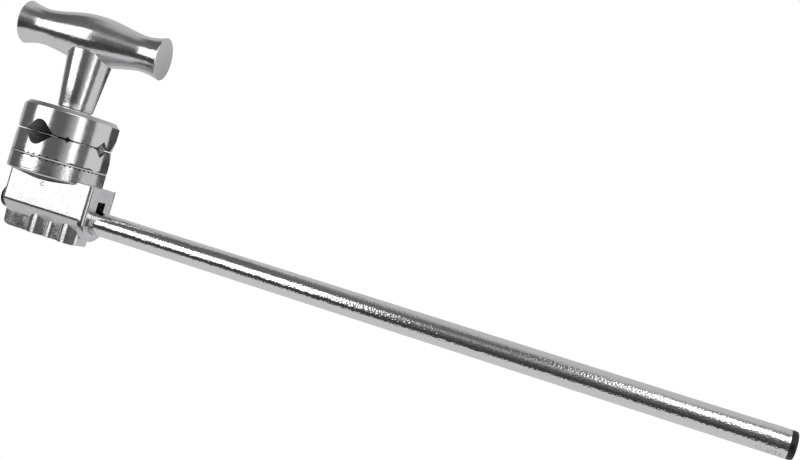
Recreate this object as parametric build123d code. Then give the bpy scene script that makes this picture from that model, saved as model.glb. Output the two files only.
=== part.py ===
from build123d import *
import math
import os

# Grip-head extension arm. Millimetres, +Z up.
# Origin: centre of the flat underside of the head, on the axis of the
# tightening stud. +X runs along the arm to its free tip.

# ---------------------------------------------------------------- arm
ARM_Z = 18.6              # height of the arm's axis
ARM_R = 7.9375            # 5/8 in arm
ARM_SEAT_R = 7.7          # turned-down length pressed into the head
ARM_BORE_R = 6.0          # inside of the tube
ARM_TIP_X = 487.3
ARM_REAR_X = -29.0
ARM_SHOULDER_X = 41.6
PLUG_R = 7.9
PLUG_HEAD = 3.7           # visible length of each end plug
PLUG_SPIGOT = 14.0
PLUG_ROUND = 1.5

# ---------------------------------------------------------------- body casting
DISC_R = 31.75            # 2 1/2 in head
DISC_TOP_Z = 49.9
DISC_CONE_R0 = 14.1
DISC_CONE_Z0 = 36.1
DISC_CONE_R1 = 31.75
DISC_CONE_Z1 = 39.5
DISC_EDGE_ROUND = 1.7
BLOCK_X0 = -26.3
BLOCK_X1 = 41.5
BLOCK_HALF_Y = 14.1
BLOCK_TOP_Z = 41.3
BLOCK_END_ROUND = 3.2
BEVEL_DROP = 1.9          # the flat sides run on this far below the arm's axis
BEVEL_LOW_Y = 5.0         # half width where the 45 degree bevels stop, inside the foot
BEVEL_ROUND = 4.5
BOSS_X0 = 37.2            # half-round boss round the arm, at the +X end
KEYWAY_HALF_Y = 4.1
KEYWAY_TOP_Z = 32.5
KEYWAY_DEPTH = 17.0
BORE_CHAMFER = 0.6

# ---------------------------------------------------------------- ribbed foot
FOOT_X0 = -26.3
FOOT_X1 = 35.0
FOOT_HALF_Y = 7.6
FOOT_TOP_Z = 15.0         # buried in the block
FOOT_NOSE_HALF_Y = 5.4    # flat at the +X end
FOOT_NOSE_INSET = 1.0     # from the flat back to the end of the last rib
FOOT_CORNER = 3.0
FOOT_WALL_Z = 10.0        # the bar's walls lean in below this
FOOT_DRAFT = 3.5
FOOT_REAR_ROUND = 7.0     # side view, at the floor
FOOT_FRONT_ROUND = 2.5
RIB_X = (1.3, 26.5)
RIB_R = 7.0
RIB_Y = 3.2
RIB_LEAN = 31.0           # slant of each rib's +X flank, from the X axis
RIB_REACH = 9.6
SMALL_RIB_X = 12.9
SMALL_RIB_R = 5.0
SMALL_RIB_Y = 3.4

# ---------------------------------------------------------------- stud and pin
STUD_R = 4.7625           # 3/8 in
STUD_Z0 = 28.1
STUD_Z1 = 115.6
LOCK_PIN_X = 2.8
LOCK_PIN_Z = 33.7
LOCK_PIN_R = 1.6
LOCK_PIN_INSET = 0.15

# ---------------------------------------------------------------- jaws
WASHER_Z0 = 50.1
WASHER_T = 1.2
JAW_R = 31.75
JAW_LOW_Z1 = 66.1         # rims; the inner lands below stand closer together
JAW_UP_Z0 = 66.8
LAND_R = 26.5
LAND_LOW_Z1 = 66.3
LAND_UP_Z0 = 66.6
JAW_UP_Z1 = 86.1
JAW_CHAMFER = 3.2
PARTING_Z = 66.45
STUD_HOLE_R = 5.05
GROOVE_TURN_DEG = 62.5    # direction of the widest groove's offset, from -Y to +X
WIDE_OFFSET = 15.6
WIDE_HALF_W = 9.05
WIDE_HALF_H = 11.4
WIDE_ROUND = 4.8
HALF_OFFSET = 13.6
HALF_HALF_W = 7.1
HALF_HALF_H = 9.0
HALF_ROUND = 3.8
SMALL_OFFSET = 12.2
SMALL_HALF_W = 5.65
SMALL_HALF_H = 5.65
NOTCH_OFFSET = 12.7
NOTCH_HALF_W = 1.9
NOTCH_HALF_H = 2.2
TOOTH_PITCH = 3.45
TOOTH_DEPTH = 1.15
TOOTH_HALF_W = 1.15
DISC_TOOTH_PITCH = 3.35
DISC_TOOTH_DEPTH = 0.9
DISC_TOOTH_HALF_W = 0.85

# ---------------------------------------------------------------- guide pins, spring
GUIDE_R = 2.0
GUIDE_CLEAR = 0.05
GUIDE_REACH = 23.0
GUIDE_Z0 = 56.0
GUIDE_Z1 = 78.0
GUIDE_HOLE_Z1 = 79.5
SPRING_POCKET_R = 6.1
SPRING_POCKET_H = 6.0
SPRING_MEAN_R = 5.42
SPRING_WIRE_R = 0.42
SPRING_TURNS = 5.0

# ---------------------------------------------------------------- T-handle
THRUST_Z0 = 86.25
THRUST_T = 1.2
THRUST_R = 10.6
HANDLE_Z0 = 87.6
STEM_R0 = 11.6
STEM_R1 = 14.9
STEM_TOP_Z = 122.0
BAR_Z = 137.3
BAR_HALF = 50.0
BAR_TURN_DEG = 12.0
BAR_END_R = 14.8
BAR_WAIST_R = 12.2
BAR_MIDDLE_R = 17.0
NUT_R = 8.5
NUT_Z0 = 88.4
NUT_Z1 = 104.6
THREAD_CLEAR = 0.05
RELIEF_R = 5.6
RELIEF_Z1 = 128.0


def rod_x(radius, x0, x1, z=ARM_Z):
    """Solid cylinder along X."""
    at = Plane(origin=(x0, 0, z), x_dir=(0, 1, 0), z_dir=(1, 0, 0))
    return extrude(at * Circle(radius), amount=x1 - x0)


def rod_z(radius, z0, z1, x=0.0, y=0.0):
    """Solid cylinder along Z."""
    return extrude(Plane.XY.offset(z0) * Pos(x, y) * Circle(radius), amount=z1 - z0)


def turn_vector(degrees):
    """Unit vector that many degrees from -Y towards +X."""
    a = math.radians(degrees)
    return math.sin(a), -math.cos(a)


def edge_near(shape, point):
    """The edge of a shape whose centre lies closest to a point."""
    return min(shape.edges(), key=lambda e: (e.center() - Vector(*point)).length)


def cross_plane(degrees, z):
    """Plane square to a groove: local x across it, local y up."""
    nx, ny = turn_vector(degrees)
    return Plane(origin=(0, 0, z), x_dir=(nx, ny, 0), z_dir=(ny, -nx, 0))


def groove_tool(degrees, offset, half_w, half_h, rounding=0.0):
    """Diamond-section cutter that forms one gripping groove in both jaws."""
    outline = Polyline(
        (-half_w, 0), (0, half_h), (half_w, 0), (0, -half_h), close=True
    )
    section = make_face(outline)
    if rounding:
        tips = section.vertices().sort_by(Axis.Y)
        section = fillet([tips[0], tips[-1]], radius=rounding)
    section = cross_plane(degrees, PARTING_Z) * Pos(offset, 0) * section
    return extrude(section, amount=2 * JAW_R, both=True)


def all_grooves():
    """Four chordal grooves, laid out like a hash sign round the stud."""
    turn = GROOVE_TURN_DEG
    return [
        groove_tool(turn, WIDE_OFFSET, WIDE_HALF_W, WIDE_HALF_H, WIDE_ROUND),
        groove_tool(turn + 180, HALF_OFFSET, HALF_HALF_W, HALF_HALF_H, HALF_ROUND),
        groove_tool(turn + 90, SMALL_OFFSET, SMALL_HALF_W, SMALL_HALF_H),
        groove_tool(turn - 90, NOTCH_OFFSET, NOTCH_HALF_W, NOTCH_HALF_H),
    ]


def tooth_tool(degrees, z, pitch, depth, half_w, up):
    """Row of parallel V cutters that serrate a flat face."""
    tip = depth if up else -depth
    back = -0.4 if up else 0.4
    wide = half_w * (1 + 0.4 / depth)
    teeth = []
    count = int(DISC_R // pitch)
    for k in range(-count, count + 1):
        c = k * pitch
        outline = Polyline((c - wide, back), (c, tip), (c + wide, back), close=True)
        section = cross_plane(degrees, z) * make_face(outline)
        teeth.append(extrude(section, amount=DISC_R + 2, both=True))
    return teeth


# ---------------------------------------------------------------- body casting
def disc():
    """Round disc with a shallow conical underside."""
    slope = (DISC_CONE_Z1 - DISC_CONE_Z0) / (DISC_CONE_R1 - DISC_CONE_R0)
    outline = Polyline(
        (0, DISC_CONE_Z0 - slope * DISC_CONE_R0),
        (DISC_CONE_R1, DISC_CONE_Z1),
        (DISC_R, DISC_TOP_Z),
        (0, DISC_TOP_Z),
        close=True,
    )
    body = revolve(Plane.XZ * make_face(outline), Axis.Z)
    rim = [e for e in body.edges() if abs(e.center().Z - DISC_CONE_Z1) < 0.01]
    return fillet(rim, radius=DISC_EDGE_ROUND)


def block_section():
    """Cross-section of the block: flat sides, then 45 degree bevels underneath."""
    low_z = ARM_Z - BEVEL_DROP - (BLOCK_HALF_Y - BEVEL_LOW_Y)
    outline = Polyline(
        (-BLOCK_HALF_Y, BLOCK_TOP_Z),
        (-BLOCK_HALF_Y, ARM_Z - BEVEL_DROP),
        (-BEVEL_LOW_Y, low_z),
        (BEVEL_LOW_Y, low_z),
        (BLOCK_HALF_Y, ARM_Z - BEVEL_DROP),
        (BLOCK_HALF_Y, BLOCK_TOP_Z),
        close=True,
    )
    section = make_face(outline)
    bends = [v for v in section.vertices() if abs(v.Y - (ARM_Z - BEVEL_DROP)) < 0.01]
    return fillet(bends, radius=BEVEL_ROUND)


def end_rounded(body, x):
    """Round the upright and lower edges at one end of the block."""
    rounds = []
    for e in body.edges():
        at = e.center()
        if abs(at.X - x) < 0.01 and abs(at.Z - BLOCK_TOP_Z) > 0.01:
            rounds.append(e)
    return fillet(rounds, radius=BLOCK_END_ROUND)


def block():
    """Block that carries the arm, with a half-round boss at its +X end."""
    side = Plane(origin=(BLOCK_X0, 0, 0), x_dir=(0, 1, 0), z_dir=(1, 0, 0))
    body = extrude(side * block_section(), amount=BOSS_X0 - BLOCK_X0)
    body = end_rounded(body, BLOCK_X0)
    height = BLOCK_TOP_Z - ARM_Z
    end = Plane(origin=(BOSS_X0, 0, ARM_Z), x_dir=(0, 1, 0), z_dir=(1, 0, 0))
    upper = Pos(0, height / 2) * Rectangle(2 * BLOCK_HALF_Y, height)
    boss = extrude(end * (upper + Circle(BLOCK_HALF_Y)), amount=BLOCK_X1 - BOSS_X0)
    return body + end_rounded(boss, BLOCK_X1)


def foot_bar():
    """Bar of the foot, with leaning walls and a narrow nose at the +X end."""
    bar = Rectangle(FOOT_X1 - FOOT_X0, 2 * FOOT_HALF_Y)
    corners = bar.vertices().group_by(Axis.X)
    bar = fillet(corners[0], radius=FOOT_CORNER)
    corners = bar.vertices().group_by(Axis.X)
    bar = chamfer(corners[-1], length=FOOT_HALF_Y - FOOT_NOSE_HALF_Y)
    plan = Plane.XY.offset(FOOT_WALL_Z) * Pos((FOOT_X0 + FOOT_X1) / 2, 0) * bar
    low = extrude(plan, amount=-FOOT_WALL_Z, taper=FOOT_DRAFT)
    return low + extrude(plan, amount=FOOT_TOP_Z - FOOT_WALL_Z)


def rib_plan():
    """Outline of the upright ribs: two swept back and one small down each side."""
    lean = math.radians(RIB_LEAN)
    plan = Pos(SMALL_RIB_X, SMALL_RIB_Y) * Circle(SMALL_RIB_R)
    plan = plan + Pos(SMALL_RIB_X, -SMALL_RIB_Y) * Circle(SMALL_RIB_R)
    for x in RIB_X:
        top = RIB_Y + RIB_R * math.cos(lean)
        top_x = x + RIB_R * math.sin(lean)
        far_x = min(x + RIB_REACH, FOOT_X1 - FOOT_NOSE_INSET)
        far = top - (far_x - top_x) * math.tan(lean)
        for side in (1, -1):
            plan = plan + Pos(x, side * RIB_Y) * Circle(RIB_R)
            flank = Polyline(
                (x, 0), (x, side * RIB_Y), (top_x, side * top), (far_x, side * far), (far_x, 0), close=True
            )
            plan = plan + make_face(flank)
    return plan


def foot():
    """Foot under the block, rounded up from the floor at the rear."""
    body = foot_bar() + extrude(rib_plan(), amount=FOOT_TOP_Z)
    outline = Polyline(
        (FOOT_X0, FOOT_TOP_Z), (FOOT_X0, 0), (FOOT_X1, 0), (FOOT_X1, FOOT_TOP_Z), close=True
    )
    side = make_face(outline)
    low = side.vertices().group_by(Axis.Y)[0].sort_by(Axis.X)
    side = fillet(low[0], radius=FOOT_REAR_ROUND)
    low = side.vertices().group_by(Axis.Y)[0].sort_by(Axis.X)
    side = fillet(low[-1], radius=FOOT_FRONT_ROUND)
    return body & extrude(Plane.XZ * side, amount=2 * RIB_R + RIB_Y, both=True)


def body_casting():
    """Disc, block and foot as one casting, bored for the arm and the stud."""
    body = disc() + block() + foot()
    body = body - rod_x(ARM_SEAT_R, BLOCK_X0 - 5, BLOCK_X1 + 5)
    body = body - rod_z(STUD_R, STUD_Z0, DISC_TOP_Z + 1)
    keyway_h = KEYWAY_TOP_Z - ARM_Z
    keyway = Pos(BLOCK_X1, 0, ARM_Z + keyway_h / 2) * Box(
        2 * KEYWAY_DEPTH, 2 * KEYWAY_HALF_Y, keyway_h
    )
    body = body - (keyway - rod_x(ARM_SEAT_R, BLOCK_X0, BLOCK_X1 + 20))
    mouth = Cone(
        ARM_SEAT_R, ARM_SEAT_R + BORE_CHAMFER, BORE_CHAMFER, align=(Align.CENTER,) * 3
    )
    body = body - Pos(BLOCK_X1 - BORE_CHAMFER / 2, 0, ARM_Z) * Rot(0, 90, 0) * mouth
    body = body - lock_pin_hole()
    for tooth in tooth_tool(
        GROOVE_TURN_DEG - 90,
        DISC_TOP_Z,
        DISC_TOOTH_PITCH,
        DISC_TOOTH_DEPTH,
        DISC_TOOTH_HALF_W,
        up=False,
    ):
        body = body - tooth
    return body


# ---------------------------------------------------------------- arm
def arm_tube():
    """Chromed tube, turned down where the head is pressed on."""
    tube = rod_x(ARM_SEAT_R, ARM_REAR_X, ARM_SHOULDER_X)
    tube = tube + rod_x(ARM_R, ARM_SHOULDER_X, ARM_TIP_X)
    return tube - rod_x(ARM_BORE_R, ARM_REAR_X - 1, ARM_TIP_X + 1)


def end_plug(x, sign):
    """Plastic plug with a rounded head; sign is the way the head points."""
    lo, hi = sorted((x, x + sign * PLUG_HEAD))
    head = rod_x(PLUG_R, lo, hi)
    outer = [e for e in head.edges() if abs(e.center().X - (x + sign * PLUG_HEAD)) < 0.01]
    head = fillet(outer, radius=PLUG_ROUND)
    lo, hi = sorted((x, x - sign * PLUG_SPIGOT))
    return head + rod_x(ARM_BORE_R, lo, hi)


# ---------------------------------------------------------------- stud and pin
def lock_pin_bar(half):
    """Cylinder along Y where the lock pin goes."""
    at = Plane(origin=(LOCK_PIN_X, -half, LOCK_PIN_Z), x_dir=(1, 0, 0), z_dir=(0, 1, 0))
    return extrude(at * Circle(LOCK_PIN_R), amount=2 * half)


def lock_pin_hole():
    return lock_pin_bar(BLOCK_HALF_Y + 1)


def bolt_lock_pin():
    """Cross pin that keeps the stud from turning in the casting."""
    pin = lock_pin_bar(BLOCK_HALF_Y - LOCK_PIN_INSET)
    ends = [e for e in pin.edges() if abs(e.center().Y) > BLOCK_HALF_Y - 1]
    return chamfer(ends, length=0.3)


def centre_stud():
    """Fixed threaded stud that the T-handle runs on."""
    stud = rod_z(STUD_R, STUD_Z0, STUD_Z1)
    stud = chamfer(edge_near(stud, (0, 0, STUD_Z1)), length=1.0)
    return stud - lock_pin_bar(BLOCK_HALF_Y + 1)


# ---------------------------------------------------------------- jaws
def friction_washer():
    ring = rod_z(JAW_R, WASHER_Z0, WASHER_Z0 + WASHER_T)
    return ring - rod_z(STUD_HOLE_R, WASHER_Z0 - 1, WASHER_Z0 + WASHER_T + 1)


def guide_spots():
    nx, ny = turn_vector(GROOVE_TURN_DEG - 90)
    return [(nx * GUIDE_REACH, ny * GUIDE_REACH), (-nx * GUIDE_REACH, -ny * GUIDE_REACH)]


def lower_jaw():
    z0 = WASHER_Z0 + WASHER_T
    jaw = rod_z(JAW_R, z0, JAW_LOW_Z1) + rod_z(LAND_R, z0, LAND_LOW_Z1)
    jaw = jaw - rod_z(STUD_HOLE_R, z0 - 1, JAW_LOW_Z1 + 1)
    jaw = jaw - rod_z(SPRING_POCKET_R, JAW_LOW_Z1 - SPRING_POCKET_H, JAW_LOW_Z1 + 1)
    for x, y in guide_spots():
        jaw = jaw - rod_z(GUIDE_R, GUIDE_Z0, JAW_LOW_Z1 + 1, x, y)
    for tool in all_grooves():
        jaw = jaw - tool
    for tooth in tooth_tool(
        GROOVE_TURN_DEG, z0, TOOTH_PITCH, TOOTH_DEPTH, TOOTH_HALF_W, up=True
    ):
        jaw = jaw - tooth
    return jaw


def upper_jaw():
    jaw = rod_z(JAW_R, JAW_UP_Z0, JAW_UP_Z1)
    jaw = chamfer(edge_near(jaw, (0, 0, JAW_UP_Z1)), length=JAW_CHAMFER)
    jaw = jaw + rod_z(LAND_R, LAND_UP_Z0, JAW_UP_Z0 + 1)
    jaw = jaw - rod_z(STUD_HOLE_R, JAW_UP_Z0 - 1, JAW_UP_Z1 + 1)
    jaw = jaw - rod_z(SPRING_POCKET_R, JAW_UP_Z0 - 1, JAW_UP_Z0 + SPRING_POCKET_H)
    for x, y in guide_spots():
        jaw = jaw - rod_z(GUIDE_R + GUIDE_CLEAR, JAW_UP_Z0 - 1, GUIDE_HOLE_Z1, x, y)
    for tool in all_grooves():
        jaw = jaw - tool
    return jaw


def guide_pins():
    pins = []
    for x, y in guide_spots():
        pin = rod_z(GUIDE_R, GUIDE_Z0, GUIDE_Z1, x, y)
        pins.append(chamfer(edge_near(pin, (x, y, GUIDE_Z1)), length=0.5))
    return Compound(children=pins)


def jaw_spring():
    """Coil spring round the stud that parts the jaws."""
    z0 = JAW_LOW_Z1 - SPRING_POCKET_H + SPRING_WIRE_R + 0.02
    z1 = JAW_UP_Z0 + SPRING_POCKET_H - SPRING_WIRE_R - 0.02
    pitch = (z1 - z0) / SPRING_TURNS
    path = Pos(0, 0, z0) * Helix(pitch=pitch, height=z1 - z0, radius=SPRING_MEAN_R)
    start = Plane(origin=path @ 0, z_dir=path % 0)
    return sweep(start * Circle(SPRING_WIRE_R), path=path, is_frenet=True)


# ---------------------------------------------------------------- T-handle
def thrust_washer():
    ring = rod_z(THRUST_R, THRUST_Z0, THRUST_Z0 + THRUST_T)
    return ring - rod_z(STUD_HOLE_R, THRUST_Z0 - 1, THRUST_Z0 + THRUST_T + 1)


def handle_bar():
    """Cross bar: full in the middle, waisted, flared to flat ends."""
    half = [
        (0, BAR_MIDDLE_R),
        (9, BAR_MIDDLE_R - 0.5),
        (18, 15.0),
        (26, 13.4),
        (35, BAR_WAIST_R),
        (43, 12.9),
        (BAR_HALF, BAR_END_R),
    ]
    points = [(-x, r) for x, r in reversed(half[1:])] + half
    curve = Spline(points, tangents=[(1, -0.45), (1, 0.45)])
    sides = Polyline((BAR_HALF, BAR_END_R), (BAR_HALF, 0), (-BAR_HALF, 0), (-BAR_HALF, BAR_END_R))
    bar = revolve(make_face(curve + sides), Axis.X)
    rims = [e for e in bar.edges() if abs(abs(e.center().X) - BAR_HALF) < 0.01]
    bar = fillet(rims, radius=0.6)
    return Pos(0, 0, BAR_Z) * Rot(0, 0, BAR_TURN_DEG) * bar


def t_handle():
    """Cast T-handle with a slightly conical stem."""
    stem = Solid.make_cone(
        STEM_R0, STEM_R1, STEM_TOP_Z - HANDLE_Z0, plane=Plane.XY.offset(HANDLE_Z0)
    )
    stem = fillet(edge_near(stem, (0, 0, HANDLE_Z0)), radius=0.7)
    handle = handle_bar() + stem
    handle = handle - rod_z(NUT_R, HANDLE_Z0 - 1, NUT_Z1)
    return handle - rod_z(RELIEF_R, HANDLE_Z0 - 1, RELIEF_Z1)


def handle_nut():
    """Threaded steel insert pressed into the stem."""
    nut = rod_z(NUT_R, NUT_Z0, NUT_Z1)
    nut = nut - rod_z(STUD_R + THREAD_CLEAR, NUT_Z0 - 1, NUT_Z1 + 1)
    return nut


NODES = {
    "body_casting": body_casting,
    "arm_tube": arm_tube,
    "tip_plug": lambda: end_plug(ARM_TIP_X, 1),
    "rear_plug": lambda: end_plug(ARM_REAR_X, -1),
    "centre_stud": centre_stud,
    "bolt_lock_pin": bolt_lock_pin,
    "friction_washer": friction_washer,
    "lower_jaw": lower_jaw,
    "guide_pins": guide_pins,
    "upper_jaw": upper_jaw,
    "jaw_spring": jaw_spring,
    "thrust_washer": thrust_washer,
    "t_handle": t_handle,
    "handle_nut": handle_nut,
}

os.makedirs("parts", exist_ok=True)
for name, make in NODES.items():
    shape = make()
    export_step(shape, f"parts/{name}.step")
    print(name, round(shape.volume, 1), len(shape.solids()), shape.is_valid)
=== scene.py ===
import math
import bmesh
import bpy
from mathutils import Matrix, Vector


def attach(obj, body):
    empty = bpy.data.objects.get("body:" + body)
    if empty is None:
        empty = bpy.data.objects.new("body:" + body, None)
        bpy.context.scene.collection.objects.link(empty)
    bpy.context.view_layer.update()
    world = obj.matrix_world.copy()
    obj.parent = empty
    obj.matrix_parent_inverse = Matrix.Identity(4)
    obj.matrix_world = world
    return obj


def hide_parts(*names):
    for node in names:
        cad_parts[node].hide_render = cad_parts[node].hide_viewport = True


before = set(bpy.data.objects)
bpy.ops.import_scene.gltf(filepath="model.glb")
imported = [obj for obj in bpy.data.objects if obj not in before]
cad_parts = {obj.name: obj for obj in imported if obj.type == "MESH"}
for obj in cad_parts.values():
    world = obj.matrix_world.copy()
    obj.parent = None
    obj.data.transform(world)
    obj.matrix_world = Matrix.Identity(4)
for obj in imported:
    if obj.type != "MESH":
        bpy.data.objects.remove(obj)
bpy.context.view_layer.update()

# Grip-head extension arm. The sizes below are millimetres, and MM turns them
# into metres. +Z runs up the tightening stud and +X along the arm.
MM = 0.001
ARM_Z = 18.6
ARM_R = 7.9375
ARM_SEAT_R = 7.7
ARM_BORE_R = 6.0
ARM_REAR_X = -29.0
ARM_SHOULDER_X = 41.6
ARM_TIP_X = 487.3
PLUG_R = 7.9
PLUG_HEAD = 3.7
PLUG_SPIGOT = 14.0
STUD_R = 4.7625
STUD_ROOT_R = 4.05
STUD_Z = (28.1, 115.6)
THREAD_FROM_Z = 47.0
THREAD_PITCH = 1.5875
HOLE_R = 5.05
PIN_X, PIN_Z, PIN_R = 2.8, 33.7, 1.6
PIN_INSET = 0.15
BLOCK_HALF_Y = 14.1
JAW_R = 31.75
JAW_TOP_Z = 85.9
JAW_GAP_Z = (65.86, 67.04)
DISC_FROM_Z = 41.0
TEETH_Z = (48.8, 52.7)
WASHER_Z = (50.1, 51.3)
THRUST_Z = (86.25, 87.45)
THRUST_R = 10.6
HANDLE_Z = 87.6
STEM_R = (11.6, 14.9)
STEM_TOP_Z = 122.0
BAR_Z = 137.3
BAR_HALF = 50.0
BAR_TURN = math.radians(12.0)
BAR_PROFILE = [
    (-50, 14.8), (-43, 12.9), (-35, 12.2), (-26, 13.4), (-18, 15.0), (-9, 16.5), (0, 17.0),
    (9, 16.5), (18, 15.0), (26, 13.4), (35, 12.2), (43, 12.9), (50, 14.8),
]
NUT_R = 8.5
NUT_TOP_Z = 104.6
RELIEF_R = 5.6
RELIEF_TOP_Z = 128.0

scene = bpy.context.scene
scene.view_settings.view_transform = "Standard"
scene.view_settings.look = "None"


# ---------------------------------------------------------------- node helpers
class Net:
    """Short-hand for building a node tree."""

    def __init__(self, tree):
        self.tree = tree

    def node(self, kind, inputs=None, **settings):
        n = self.tree.nodes.new(kind)
        for key, value in settings.items():
            setattr(n, key, value)
        for key, value in (inputs or {}).items():
            self.feed(n.inputs[key], value)
        return n

    def feed(self, socket, value):
        if isinstance(value, bpy.types.NodeSocket):
            self.tree.links.new(value, socket)
        else:
            socket.default_value = value

    def math(self, op, a, b=0.0, c=0.0, clamp=False):
        n = self.node("ShaderNodeMath", {0: a, 1: b, 2: c}, operation=op, use_clamp=clamp)
        return n.outputs[0]

    def step(self, value, lo, hi, out_lo=0.0, out_hi=1.0):
        """Smooth change from out_lo to out_hi; lo may be above hi."""
        if lo > hi:
            lo, hi, out_lo, out_hi = hi, lo, out_hi, out_lo
        inputs = {"Value": value, "From Min": lo, "From Max": hi, "To Min": out_lo, "To Max": out_hi}
        n = self.node("ShaderNodeMapRange", inputs, interpolation_type="SMOOTHSTEP")
        return n.outputs["Result"]

    def step_mm(self, value, lo, hi, out_lo=0.0, out_hi=1.0):
        """The same change for a length, with lo and hi in millimetres."""
        return self.step(value, lo * MM, hi * MM, out_lo, out_hi)

    def both(self, *masks):
        out = masks[0]
        for m in masks[1:]:
            out = self.math("MULTIPLY", out, m)
        return out

    def mix(self, fac, a, b):
        return self.math("ADD", self.math("MULTIPLY", self.math("SUBTRACT", b, a), fac), a)

    def noise(self, at, scale, detail=2.0, rough=0.5, stretch=(1, 1, 1)):
        """Noise from 0 to 1; scale is in cells per metre, stretch per axis."""
        if stretch != (1, 1, 1):
            at = self.node("ShaderNodeMapping", {"Vector": at, "Scale": stretch}).outputs[0]
        inputs = {"Vector": at, "Scale": scale, "Detail": detail, "Roughness": rough}
        return self.node("ShaderNodeTexNoise", inputs).outputs[0]

    def rgb(self, a, b, fac):
        n = self.node("ShaderNodeMix", {"Factor": fac}, data_type="RGBA")
        n.inputs[6].default_value = (*a, 1)
        n.inputs[7].default_value = (*b, 1)
        return n.outputs[2]


# ---------------------------------------------------------------- studio
def window(net, value, lo, hi, soft_lo, soft_hi):
    """1 between lo and hi, falling off softly on each side."""
    a = net.step(value, lo - soft_lo, lo + soft_lo)
    return net.both(a, net.step(value, hi + soft_hi, hi - soft_hi))


def studio():
    """Grey room with pale walls; directions in degrees, azimuth from -Y to +X."""
    world = bpy.data.worlds.new("studio")
    scene.world = world
    world.use_nodes = True
    net = Net(world.node_tree)
    coord = net.node("ShaderNodeTexCoord").outputs["Generated"]
    x, y, z = net.node("ShaderNodeSeparateXYZ", {0: coord}).outputs
    az = net.math("DEGREES", net.math("ARCTAN2", x, net.math("MULTIPLY", y, -1.0)))
    el = net.math("DEGREES", net.math("ARCSINE", z))
    back = net.math("ABSOLUTE", az)
    # dark room in front, lighter ceiling
    v = net.step(el, 56, 82, 0.15, 0.5)
    low = net.step(el, 12, -16)
    v = net.mix(low, v, 0.055)
    v = net.mix(net.both(window(net, az, -30, 60, 12, 6), window(net, el, -9, 12, 7, 8)), v, 0.125)
    v = net.mix(net.both(window(net, az, -16, 30, 10, 10), window(net, el, 12, 32, 6, 8)), v, 0.36)
    v = net.mix(net.both(window(net, az, 38, 60, 16, 5), window(net, el, -30, 40, 8, 8)), v, 0.5)
    # pale walls at the back and sides
    rear = net.step(back, 98, 122)
    v = net.mix(rear, v, 0.56)
    right = net.both(window(net, az, 96, 151, 3, 3), window(net, el, -40, 40, 8, 10))
    v = net.mix(right, v, 0.7)
    left = net.both(window(net, az, -122, -104, 8, 6), window(net, el, -40, 52, 8, 10))
    v = net.mix(left, v, 0.5)
    v = net.mix(net.both(window(net, az, -100, -56, 5, 4), window(net, el, -40, 60, 8, 12)), v, 0.125)
    v = net.mix(net.both(window(net, az, 76, 93, 4, 3), window(net, el, -40, 46, 8, 8)), v, 0.16)
    v = net.mix(net.both(net.step(back, 147, 150), window(net, el, -3.2, 5, 1.2, 2)), v, 0.06)
    # tall strip light at the right
    v = net.mix(net.both(window(net, az, 53, 70, 4, 5), window(net, el, -26, 50, 8, 8)), v, 1.5)
    # table all round, nearer on the left and behind
    near = net.mix(rear, net.step(az, -48, -24, 11, 0), 12.0)
    v = net.mix(net.step(net.math("SUBTRACT", el, near), -41, -50), v, 0.64)
    seen = net.node("ShaderNodeLightPath").outputs["Is Camera Ray"]
    v = net.mix(seen, v, 1.0)
    colour = net.node("ShaderNodeCombineXYZ", {0: v, 1: v, 2: net.math("MULTIPLY", v, 1.012)}).outputs[0]
    net.feed(world.node_tree.nodes["Background"].inputs["Color"], colour)


def glow_panel(name, corner, across, up, power, soft):
    """Soft-edged light panel that the camera doesn't see. soft: left, right, low, high."""
    corner, across, up = Vector(corner), Vector(across), Vector(up)
    mesh = bpy.data.meshes.new(name)
    mesh.from_pydata([(0, 0, 0), (1, 0, 0), (1, 1, 0), (0, 1, 0)], [], [(0, 1, 2, 3)])
    obj = bpy.data.objects.new(name, mesh)
    scene.collection.objects.link(obj)
    facing = across.cross(up).normalized()
    obj.matrix_world = Matrix.Translation(corner) @ Matrix((across, up, facing)).transposed().to_4x4()
    mat = bpy.data.materials.new(name)
    mat.use_nodes = True
    mat.node_tree.nodes.clear()
    net = Net(mat.node_tree)
    at = net.node("ShaderNodeTexCoord").outputs["Object"]
    u, w = net.node("ShaderNodeSeparateXYZ", {0: at}).outputs[:2]
    m = net.both(
        net.step(u, 0, soft[0]), net.step(u, 1, 1 - soft[1]),
        net.step(w, 0, soft[2]), net.step(w, 1, 1 - soft[3]),
    )
    glow = net.node("ShaderNodeEmission", {"Strength": net.math("MULTIPLY", m, power)})
    clear = net.node("ShaderNodeBsdfTransparent")
    blend = net.node("ShaderNodeMixShader", {0: m, 1: clear.outputs[0], 2: glow.outputs[0]})
    net.node("ShaderNodeOutputMaterial", {"Surface": blend.outputs[0]})
    mesh.materials.append(mat)
    obj.visible_camera = False
    obj.visible_shadow = False


def fill_light():
    data = bpy.data.lights.new("fill", "AREA")
    data.energy = 3.0
    data.size = 1.2
    lamp = bpy.data.objects.new("fill", data)
    scene.collection.objects.link(lamp)
    lamp.matrix_world = Matrix.Translation((0.3, -0.4, 1.6))
    lamp.visible_glossy = False
    lamp.visible_camera = False


def camera():
    data = bpy.data.cameras.new("camera")
    data.lens = 42.823
    data.sensor_width = 36.0
    eye = bpy.data.objects.new("camera", data)
    scene.collection.objects.link(eye)
    turn = Matrix((
        (0.91610955, -0.26425645, 0.30151586),
        (0.28567799, -0.09741087, -0.95336206),
        (0.28130299, 0.95952053, -0.01374678),
    ))
    eye.matrix_world = Matrix.Translation((0.420985, -0.548345, 0.062521)) @ turn.to_4x4()
    scene.camera = eye


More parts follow.
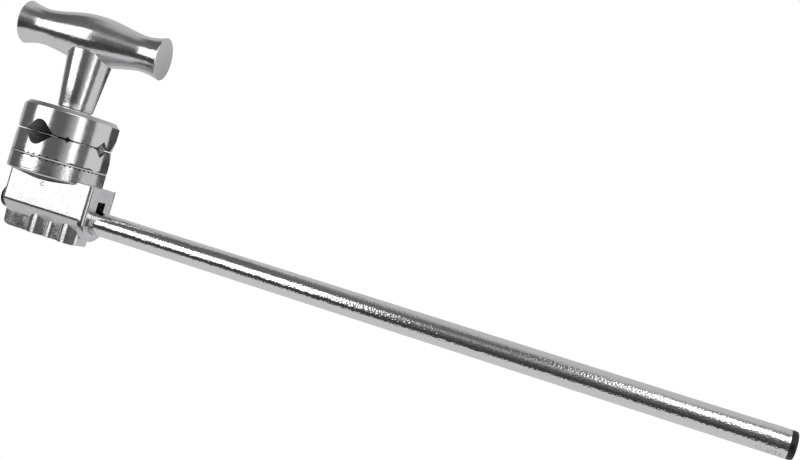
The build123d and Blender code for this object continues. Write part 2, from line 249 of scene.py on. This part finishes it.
# ---------------------------------------------------------------- materials
class Surface(Net):
    """A Principled material with object-space coordinates at hand."""

    def __init__(self, name, metallic=1.0):
        self.mat = bpy.data.materials.new(name)
        self.mat.use_nodes = True
        super().__init__(self.mat.node_tree)
        self.bsdf = self.mat.node_tree.nodes["Principled BSDF"]
        self.bsdf.inputs["Metallic"].default_value = metallic
        self.at = self.node("ShaderNodeTexCoord").outputs["Object"]
        self.x, self.y, self.z = self.node("ShaderNodeSeparateXYZ", {0: self.at}).outputs

    def radius(self):
        """Distance from the stud's axis."""
        return self.math("SQRT", self.math("ADD", self.both(self.x, self.x), self.both(self.y, self.y)))

    def bump(self, height, depth, normal=None):
        """Bump of that many metres for a height that runs from 0 to 1."""
        n = self.node("ShaderNodeBump", {"Height": height, "Distance": depth, "Strength": 1.0})
        if normal is not None:
            self.feed(n.inputs["Normal"], normal)
        return n.outputs[0]

    def finish(self, colour, rough, normal=None):
        self.feed(self.bsdf.inputs["Base Color"], colour)
        self.feed(self.bsdf.inputs["Roughness"], rough)
        if normal is not None:
            self.feed(self.bsdf.inputs["Normal"], normal)
        return self.mat


def arm_chrome():
    """Chrome over drawn tube: fine grain, stronger towards the tip, and scattered pits."""
    s = Surface("arm_chrome")
    streak = s.noise(s.at, 1.0, 0.0, 0.5, (900, 1200, 1200))
    fine = s.noise(s.at, 1.0, 1.0, 0.5, (1500, 2400, 2400))
    wave = s.noise(s.at, 1.0, 1.0, 0.5, (60, 220, 220))
    haze = s.noise(s.at, 1.0, 2.0, 0.5, (18, 90, 90))
    rough = s.math("ADD", s.step(haze, 0.3, 0.75, 0.03, 0.08), s.step(fine, 0.5, 0.75, 0.0, 0.04))
    normal = s.bump(wave, 0.00006)
    normal = s.bump(streak, s.step_mm(s.x, 50, 300, 0.00007, 0.00012), normal)
    pits = s.step(s.noise(s.at, 1.0, 2.0, 0.7, (700, 1600, 1600)), 0.66, 0.74)
    pitted = s.both(pits, s.step(haze, 0.45, 0.65))
    # darker mottled patch low down near the free end
    tip = s.both(
        s.step_mm(s.x, ARM_TIP_X - 21.3, ARM_TIP_X - 7.3), s.step_mm(s.z, ARM_Z - 3.6, ARM_Z - 6.1),
        s.step_mm(s.x, ARM_TIP_X - 0.5, ARM_TIP_X - 1.1),
    )
    tip_blotch = s.both(tip, s.step(s.noise(s.at, 900.0, 2.0, 0.6), 0.50, 0.60))
    dull = s.math("MAXIMUM", s.math("MULTIPLY", pitted, 0.7), tip_blotch)
    colour = s.rgb((0.80, 0.805, 0.81), (0.40, 0.40, 0.40), dull)
    return s.finish(colour, rough, normal)


def cast_polish(name, tone, base_rough, lump, grit, uneven_from_z=None):
    """Polished casting: soft lumps, orange peel, hazy patches and small pits.

    Above uneven_from_z the lumps and the peel are about twice as deep."""
    s = Surface(name)
    broad = s.noise(s.at, 130.0, 2.0, 0.5)
    peel_depth = grit
    if uneven_from_z is not None:
        top = uneven_from_z + 1.0
        broad = s.math("MULTIPLY", broad, s.step_mm(s.z, uneven_from_z, top, 1.0, 2.2))
        peel_depth = s.step_mm(s.z, uneven_from_z, top, grit, grit * 2.0)
    peel = s.noise(s.at, 950.0, 0.0, 0.5)
    fine = s.noise(s.at, 2300.0, 2.0, 0.6)
    haze = s.noise(s.at, 240.0, 4.0, 0.65)
    rough = s.step(haze, 0.35, 0.7, base_rough, base_rough + 0.10)
    rough = s.math("ADD", rough, s.step(fine, 0.5, 0.8, 0.0, 0.06))
    normal = s.bump(broad, lump)
    normal = s.bump(peel, peel_depth, normal)
    pits = s.step(s.noise(s.at, 1200.0, 2.0, 0.7), 0.60, 0.70)
    dull = s.both(pits, s.step(haze, 0.42, 0.60))
    low = tuple(c * 0.6 for c in tone)
    return s, s.rgb(tone, low, dull), rough, normal


def cast_body():
    """Polished casting, uneven on the disc, with painted shade in the notches between its teeth."""
    tone = (0.68, 0.685, 0.69)
    s, colour, rough, normal = cast_polish("cast_body", tone, 0.15, 0.00009, 0.00003, DISC_FROM_Z)
    # painted shade: the notches between the teeth are coloured near black
    low = s.step_mm(s.z, TEETH_Z[0], TEETH_Z[0] + 0.3)
    teeth = s.both(s.step_mm(s.radius(), JAW_R - 0.03, JAW_R - 0.15), low)
    shade = s.node("ShaderNodeMix", {"Factor": teeth}, data_type="RGBA")
    s.feed(shade.inputs[6], colour)
    shade.inputs[7].default_value = (0.06, 0.06, 0.06, 1)
    return s.finish(shade.outputs[2], rough, normal)


def handle_alloy():
    """Polished cast bar with ground, matt end discs."""
    s, colour, rough, normal = cast_polish("handle_alloy", (0.76, 0.765, 0.77), 0.12, 0.00006, 0.00005)
    along = s.math("MULTIPLY", s.x, math.cos(BAR_TURN))
    along = s.math("ADD", along, s.math("MULTIPLY", s.y, math.sin(BAR_TURN)))
    end = s.step_mm(s.math("ABSOLUTE", along), BAR_HALF - 0.25, BAR_HALF - 0.05)
    rough = s.mix(end, rough, 0.46)
    return s.finish(colour, rough, normal)


def jaw_metal():
    """Turned and polished rounds; the sawn and milled insides stay dull. Painted shade darkens the grooves,
    the notches between the teeth and the gap between the jaws.
    """
    s = Surface("jaw_metal")
    r = s.radius()
    inside = s.step_mm(r, JAW_R - 0.25, JAW_R - 0.75)
    top = s.step_mm(s.z, JAW_TOP_Z - 0.4, JAW_TOP_Z)
    milled = s.math("MULTIPLY", inside, s.math("SUBTRACT", 1.0, top))
    turned = s.noise(s.at, 1.0, 3.0, 0.6, (45, 45, 2600))
    ring_at = {"W": s.math("MULTIPLY", r, 1800.0), "Detail": 2.0}
    rings = s.node("ShaderNodeTexNoise", ring_at, noise_dimensions="1D").outputs[0]
    haze = s.noise(s.at, 170.0, 4.0, 0.6)
    nicks = s.noise(s.at, 1500.0, 2.0, 0.6)
    cut = s.noise(s.at, 1.0, 2.0, 0.5, (90, 90, 2400))
    # painted shade in the notches between the teeth
    teeth = s.both(s.step_mm(r, JAW_R - 0.03, JAW_R - 0.15), s.step_mm(s.z, TEETH_Z[1], TEETH_Z[1] - 0.3))
    rough = s.math("ADD", s.step(haze, 0.35, 0.7, 0.11, 0.19), s.step(nicks, 0.55, 0.8, 0.0, 0.06))
    rough = s.mix(milled, rough, 0.38)
    lines = s.mix(s.both(top, inside), turned, rings)
    lines = s.mix(milled, lines, cut)
    normal = s.bump(s.noise(s.at, 150.0, 1.0), 0.00008)
    normal = s.bump(lines, s.mix(milled, 0.000012, 0.00006), normal)
    normal = s.bump(nicks, 0.000006, normal)
    # painted shade in the grooves, least in the one on the arm's side
    groove_shade = s.both(milled, s.step(cut, 0.35, 0.65, 0.16, 0.52), s.step_mm(s.x, 10, 22, 1.0, 0.3))
    dark = s.math("MAXIMUM", groove_shade, s.step(nicks, 0.66, 0.76, 0.0, 0.4))
    # painted shadow in the gap between the jaws, and on the arm's side along its edges as well
    rim = s.math("SUBTRACT", r, s.step_mm(s.x, 4, 8, (JAW_R - 0.15) * MM, (JAW_R + 0.25) * MM))
    edge = 0.03 * MM
    between = window(s, s.z, JAW_GAP_Z[0] * MM, JAW_GAP_Z[1] * MM, edge, edge)
    gap = s.both(s.step_mm(rim, 0.1, 0.0), between)
    dark = s.math("MAXIMUM", dark, s.math("MAXIMUM", teeth, gap))
    # the dark colour holds real nicks and painted shade
    colour = s.rgb((0.77, 0.775, 0.78), (0.06, 0.06, 0.06), dark)
    return s.finish(colour, rough, normal)


def plain_steel(name, tone, rough_range, depth, scale, stretch=(1, 1, 1)):
    """Steel with directional tool marks and hazy patches."""
    s = Surface(name)
    marks = s.noise(s.at, scale, 3.0, 0.6, stretch)
    haze = s.noise(s.at, 260.0, 3.0, 0.6)
    rough = s.step(haze, 0.3, 0.72, *rough_range)
    low = tuple(c * 0.62 for c in tone)
    colour = s.rgb(tone, low, s.step(marks, 0.5, 0.85))
    return s.finish(colour, rough, s.bump(marks, depth))


def black_plastic():
    s = Surface("black_plastic", metallic=0.0)
    grain = s.noise(s.at, 1900.0, 3.0, 0.6)
    haze = s.noise(s.at, 320.0, 3.0, 0.6)
    scuff = s.step(s.noise(s.at, 1.0, 3.0, 0.6, (300, 1400, 300)), 0.62, 0.78)
    rough = s.math("ADD", s.step(haze, 0.3, 0.7, 0.34, 0.5), s.math("MULTIPLY", scuff, 0.12))
    colour = s.rgb((0.012, 0.012, 0.013), (0.06, 0.06, 0.062), s.both(scuff, s.step(haze, 0.4, 0.6)))
    return s.finish(colour, rough, s.bump(grain, 0.00003))


# ---------------------------------------------------------------- mesh helpers
def soften(points, radius, steps=4, closed=True):
    """Round the corners of a polyline of (along, out) points."""
    out = []
    count = len(points)
    for i, p in enumerate(points):
        if not closed and i in (0, count - 1):
            out.append(tuple(p))
            continue
        p = Vector(p)
        a, b = Vector(points[i - 1]) - p, Vector(points[(i + 1) % count]) - p
        reach = min(radius, a.length * 0.45, b.length * 0.45)
        p0, p1 = p + a.normalized() * reach, p + b.normalized() * reach
        for k in range(steps + 1):
            t = k / steps
            q = p0 * (1 - t) ** 2 + p * 2 * t * (1 - t) + p1 * t ** 2
            out.append((q.x, q.y))
    return out


def lathe(points, place, segments=96, closed=True):
    """Mesh swept round an axis. points are (along, out) in mm; place maps the axis to the world."""
    bm = bmesh.new()
    rings = []
    for along, out in points:
        if out < 1e-6:
            rings.append([bm.verts.new(place @ Vector((along * MM, 0, 0)))])
            continue
        ring = []
        for k in range(segments):
            a = 2 * math.pi * k / segments
            spot = Vector((along, out * math.cos(a), out * math.sin(a))) * MM
            ring.append(bm.verts.new(place @ spot))
        rings.append(ring)
    pairs = list(zip(rings, rings[1:]))
    if closed:
        pairs.append((rings[-1], rings[0]))
    for a, b in pairs:
        for k in range(segments):
            j = (k + 1) % segments
            if len(a) == 1 and len(b) == 1:
                break
            if len(a) == 1:
                bm.faces.new((a[0], b[j], b[k]))
            elif len(b) == 1:
                bm.faces.new((a[k], a[j], b[0]))
            else:
                bm.faces.new((a[k], a[j], b[j], b[k]))
    bmesh.ops.recalc_face_normals(bm, faces=bm.faces)
    return bm


def put(name, bm, body, slot, material, *nodes, sharp=32.0):
    """Finish a mesh as a piece that rides on a body and stands for CAD nodes."""
    mesh = bpy.data.meshes.new(name)
    bm.to_mesh(mesh)
    bm.free()
    obj = bpy.data.objects.new(name, mesh)
    scene.collection.objects.link(obj)
    mesh.shade_smooth()
    mesh.set_sharp_from_angle(angle=math.radians(sharp))
    mesh.materials.append(material)
    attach(obj, body)
    if nodes:
        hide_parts(*nodes)
    return obj


def settle(obj):
    """Apply an object's modifiers to its mesh."""
    evaluated = obj.evaluated_get(bpy.context.evaluated_depsgraph_get())
    mesh = bpy.data.meshes.new_from_object(evaluated)
    obj.modifiers.clear()
    old = obj.data
    obj.data = mesh
    bpy.data.meshes.remove(old)


def eased(node, name, body, slot, material, width, angle=28.0, steps=2):
    """Copy a CAD node with its sharp edges broken by a small rounded bevel."""
    bm = bmesh.new()
    bm.from_mesh(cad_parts[node].data)
    bmesh.ops.remove_doubles(bm, verts=bm.verts, dist=2e-6)
    bmesh.ops.dissolve_degenerate(bm, edges=bm.edges, dist=2e-6)
    bmesh.ops.dissolve_limit(
        bm, angle_limit=math.radians(0.3), verts=bm.verts, edges=bm.edges, use_dissolve_boundaries=False
    )
    obj = put(name, bm, body, slot, material, node, sharp=angle)
    bevel = obj.modifiers.new("bevel", "BEVEL")
    bevel.width = width
    bevel.segments = steps
    bevel.limit_method = "ANGLE"
    bevel.angle_limit = math.radians(angle)
    bevel.harden_normals = True
    bevel.use_clamp_overlap = True
    bevel.miter_outer = "MITER_ARC"
    even = obj.modifiers.new("even", "WEIGHTED_NORMAL")
    even.mode = "FACE_AREA"
    even.weight = 90
    even.keep_sharp = True
    settle(obj)
    true_rounds(obj)
    return obj


def true_rounds(obj):
    """Exact normals on the 2 1/2 in rounds, so they shade as turned surfaces."""
    mesh = obj.data
    normals = [Vector(c.vector) for c in mesh.corner_normals]
    for face in mesh.polygons:
        if abs(face.normal.z) > 0.75:
            continue
        for i in face.loop_indices:
            spot = mesh.vertices[mesh.loops[i].vertex_index].co
            flat = Vector((spot.x, spot.y, 0))
            if abs(flat.length - JAW_R * MM) < 0.05 * MM and face.normal.dot(flat.normalized()) > 0.6:
                normals[i] = flat.normalized()
    mesh.normals_split_custom_set([tuple(n) for n in normals])


def along_x(z=ARM_Z):
    return Matrix.Translation((0, 0, z * MM))


def along_z():
    return Matrix.Rotation(-math.pi / 2, 4, "Y")


# ---------------------------------------------------------------- pieces
def arm(material):
    outline = [
        (ARM_REAR_X, ARM_BORE_R), (ARM_REAR_X, ARM_SEAT_R), (ARM_SHOULDER_X, ARM_SEAT_R),
        (ARM_SHOULDER_X, ARM_R), (ARM_TIP_X, ARM_R), (ARM_TIP_X, ARM_BORE_R),
    ]
    bm = lathe(soften(outline, 0.22, 3), along_x(), 128)
    put("arm_tube_finished", bm, "head_and_arm", "arm_chrome", material, "arm_tube")


def plug(name, x, sign, material, node):
    """End plug with a rounded rim, a shallow dish and a gate mark."""
    face = x + sign * PLUG_HEAD
    root = x - sign * PLUG_SPIGOT
    outline = [
        (face - sign * 0.55, 0), (face - sign * 0.50, 0.9), (face - sign * 0.25, 1.1),
        (face - sign * 0.32, 4.6), (face, 5.4), (face - sign * 0.02, 6.4), (face - sign * 0.45, 7.5),
        (face - sign * 1.5, PLUG_R), (x + sign * 0.15, PLUG_R), (x, PLUG_R - 0.15), (x, ARM_BORE_R),
        (root, ARM_BORE_R - 0.25), (root, 4.6), (x - sign * 1.0, 4.4), (x - sign * 1.0, 0),
    ]
    bm = lathe(soften(outline, 0.35, 3, closed=False), along_x(), 72, closed=False)
    put(name, bm, "head_and_arm", "black_plastic", material, node)


def lock_pin(material):
    """Cross pin with well broken ends, so a dark ring shows round it."""
    end = BLOCK_HALF_Y - PIN_INSET
    outline = [
        (-end, 0), (-end, PIN_R - 0.5), (0.45 - end, PIN_R - 0.06), (0.6 - end, PIN_R),
        (end - 0.6, PIN_R), (end - 0.45, PIN_R - 0.06), (end, PIN_R - 0.5), (end, 0),
    ]
    place = Matrix.Translation((PIN_X * MM, 0, PIN_Z * MM)) @ Matrix.Rotation(math.pi / 2, 4, "Z")
    bm = lathe(outline, place, 48, closed=False)
    put("lock_pin_finished", bm, "head_and_arm", "pin_steel", material, "bolt_lock_pin")


def stud(material):
    """Threaded stud: plain shank, then a 3/8 in thread with a chamfered start."""
    segments = 40
    rows = [(STUD_Z[0], 0.0), (STUD_Z[0] + 0.01, STUD_R), (THREAD_FROM_Z - 0.8, STUD_R)]
    z = THREAD_FROM_Z
    bm = bmesh.new()
    place = along_z()
    rings = []
    for along, out in rows:
        count = 1 if out == 0 else segments
        rings.append([
            bm.verts.new(Vector((
                out * math.cos(2 * math.pi * k / segments), out * math.sin(2 * math.pi * k / segments), along,
            )) * MM)
            for k in range(count)
        ])
    pitch_steps = 8
    rise = THREAD_PITCH / pitch_steps
    while z < STUD_Z[1]:
        limit = min(STUD_R, STUD_R - 1.0 + (STUD_Z[1] - z))
        ring = []
        for k in range(segments):
            phase = (z / THREAD_PITCH - k / segments) % 1.0
            tooth = min(1.0, max(0.0, 1.25 * (1 - abs(2 * phase - 1)) - 0.08))
            out = min(limit, STUD_ROOT_R + (STUD_R - STUD_ROOT_R) * tooth)
            a = 2 * math.pi * k / segments
            ring.append(bm.verts.new(Vector((out * math.cos(a), out * math.sin(a), z)) * MM))
        rings.append(ring)
        z += rise
    rings.append([bm.verts.new(Vector((0, 0, STUD_Z[1])) * MM)])
    for a, b in zip(rings, rings[1:]):
        for k in range(segments):
            j = (k + 1) % segments
            if len(a) == 1:
                bm.faces.new((a[0], b[j], b[k]))
            elif len(b) == 1:
                bm.faces.new((a[k], a[j], b[0]))
            else:
                bm.faces.new((a[k], a[j], b[j], b[k]))
    bmesh.ops.recalc_face_normals(bm, faces=bm.faces)
    put("centre_stud_threaded", bm, "head_and_arm", "stud_steel", material, "centre_stud", sharp=40)


def ring(name, inner, outer, z, body, material, node, ease=0.22):
    outline = [(z[0], inner), (z[0], outer), (z[1], outer), (z[1], inner)]
    bm = lathe(soften(outline, ease, 4), along_z(), 160)
    put(name, bm, body, "washer_steel", material, node)


def spline_rows(points, per_span=6):
    """Catmull-Rom curve through (along, out) points."""
    rows = []
    for i in range(len(points) - 1):
        p1, p2 = Vector(points[i]), Vector(points[i + 1])
        p0 = Vector(points[i - 1]) if i else p1 * 2 - p2
        p3 = Vector(points[i + 2]) if i + 2 < len(points) else p2 * 2 - p1
        for k in range(per_span):
            t = k / per_span
            q = (2 * p1 + (p2 - p0) * t + (2 * p0 - 5 * p1 + 4 * p2 - p3) * t ** 2
                 + (3 * p1 - p0 - 3 * p2 + p3) * t ** 3) * 0.5
            rows.append((q.x, q.y))
    rows.append(tuple(points[-1]))
    return rows


def cutter(bm):
    """Hidden mesh object for a boolean."""
    mesh = bpy.data.meshes.new("cutter")
    bm.to_mesh(mesh)
    bm.free()
    obj = bpy.data.objects.new("cutter", mesh)
    scene.collection.objects.link(obj)
    return obj


def boolean(obj, other, operation):
    mod = obj.modifiers.new("boolean", "BOOLEAN")
    mod.operation = operation
    mod.solver = "EXACT"
    mod.object = other
    settle(obj)
    mesh = other.data
    bpy.data.objects.remove(other)
    bpy.data.meshes.remove(mesh)


def handle(material):
    """T-handle: turned bar with flared ends on a conical stem, bored for the insert."""
    rows = spline_rows(BAR_PROFILE)
    end = BAR_HALF
    rim = BAR_PROFILE[-1][1]
    rows[0] = (-end + 0.5, rim - 0.12)
    rows[-1] = (end - 0.5, rim - 0.12)
    rows = [(-end, 0), (-end, rim - 0.9), (-end + 0.12, rim - 0.38)] + rows
    rows = rows + [(end - 0.12, rim - 0.38), (end, rim - 0.9), (end, 0)]
    place = Matrix.Translation((0, 0, BAR_Z * MM)) @ Matrix.Rotation(BAR_TURN, 4, "Z")
    turned = lathe(rows, place, 112, closed=False)
    bar = put("t_handle_finished", turned, "handle_body", "handle_alloy", material, "t_handle")
    grow = (STEM_R[1] - STEM_R[0]) / (STEM_TOP_Z - HANDLE_Z)
    low = [(HANDLE_Z, 0), (HANDLE_Z, STEM_R[0]), (STEM_TOP_Z + 6, STEM_R[1] + 6 * grow), (STEM_TOP_Z + 6, 0)]
    low = low[:1] + soften(low, 0.7, 4, closed=False)[1:-1] + low[-1:]
    boolean(bar, cutter(lathe(low, along_z(), 112, closed=False)), "UNION")
    bore = [
        (HANDLE_Z - 2, 0), (HANDLE_Z - 2, NUT_R + 0.5), (HANDLE_Z, NUT_R + 0.5), (HANDLE_Z + 0.5, NUT_R),
        (NUT_TOP_Z, NUT_R), (NUT_TOP_Z, RELIEF_R), (RELIEF_TOP_Z, RELIEF_R), (RELIEF_TOP_Z + 2, 0),
    ]
    boolean(bar, cutter(lathe(bore, along_z(), 64, closed=False)), "DIFFERENCE")
    bar.data.shade_smooth()
    bar.data.set_sharp_from_angle(angle=math.radians(32))


def carry(material, *nodes):
    """Give a CAD node that stays its finished material."""
    for node in nodes:
        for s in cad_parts[node].material_slots:
            s.material = material


camera()
studio()
fill_light()
glow_panel("panel_left", (-1.85, -1.26, -0.24), (1.78, 0, 0), (0, 0, 1.20), 1.9, (0.05, 0.15, 0.12, 0.12))
glow_panel("panel_top", (0.17, -1.5, 0.56), (1.37, 0, 0), (0, 0.72, 1.15), 1.7, (0.37, 0.1, 0.12, 0.12))

chrome = arm_chrome()
plastic = black_plastic()
bright = plain_steel("washer_steel", (0.86, 0.86, 0.86), (0.36, 0.5), 0.00001, 1.0, (300, 300, 2000))
zinc = plain_steel("stud_steel", (0.62, 0.61, 0.60), (0.22, 0.38), 0.00002, 900.0)
ground = plain_steel("pin_steel", (0.66, 0.66, 0.66), (0.16, 0.3), 0.00001, 1.0, (500, 1500, 500))
wire = plain_steel("spring_steel", (0.42, 0.41, 0.40), (0.2, 0.36), 0.00001, 1400.0)
jaw = jaw_metal()
casting = cast_body()

arm(chrome)
plug("tip_plug_finished", ARM_TIP_X, 1, plastic, "tip_plug")
plug("rear_plug_finished", ARM_REAR_X, -1, plastic, "rear_plug")
stud(zinc)
ring("friction_washer_finished", HOLE_R, JAW_R, WASHER_Z, "lower_jaw_body", bright, "friction_washer", 0.45)
ring("thrust_washer_finished", HOLE_R, THRUST_R, THRUST_Z, "thrust_body", bright, "thrust_washer")
handle(handle_alloy())
eased("body_casting", "body_casting_finished", "head_and_arm", "cast_body", casting, 0.0005)
eased("lower_jaw", "lower_jaw_finished", "lower_jaw_body", "jaw_metal", jaw, 0.00022)
eased("upper_jaw", "upper_jaw_finished", "upper_jaw_body", "jaw_metal", jaw, 0.00022)
lock_pin(ground)
carry(ground, "guide_pins")
carry(wire, "jaw_spring")
carry(zinc, "handle_nut")
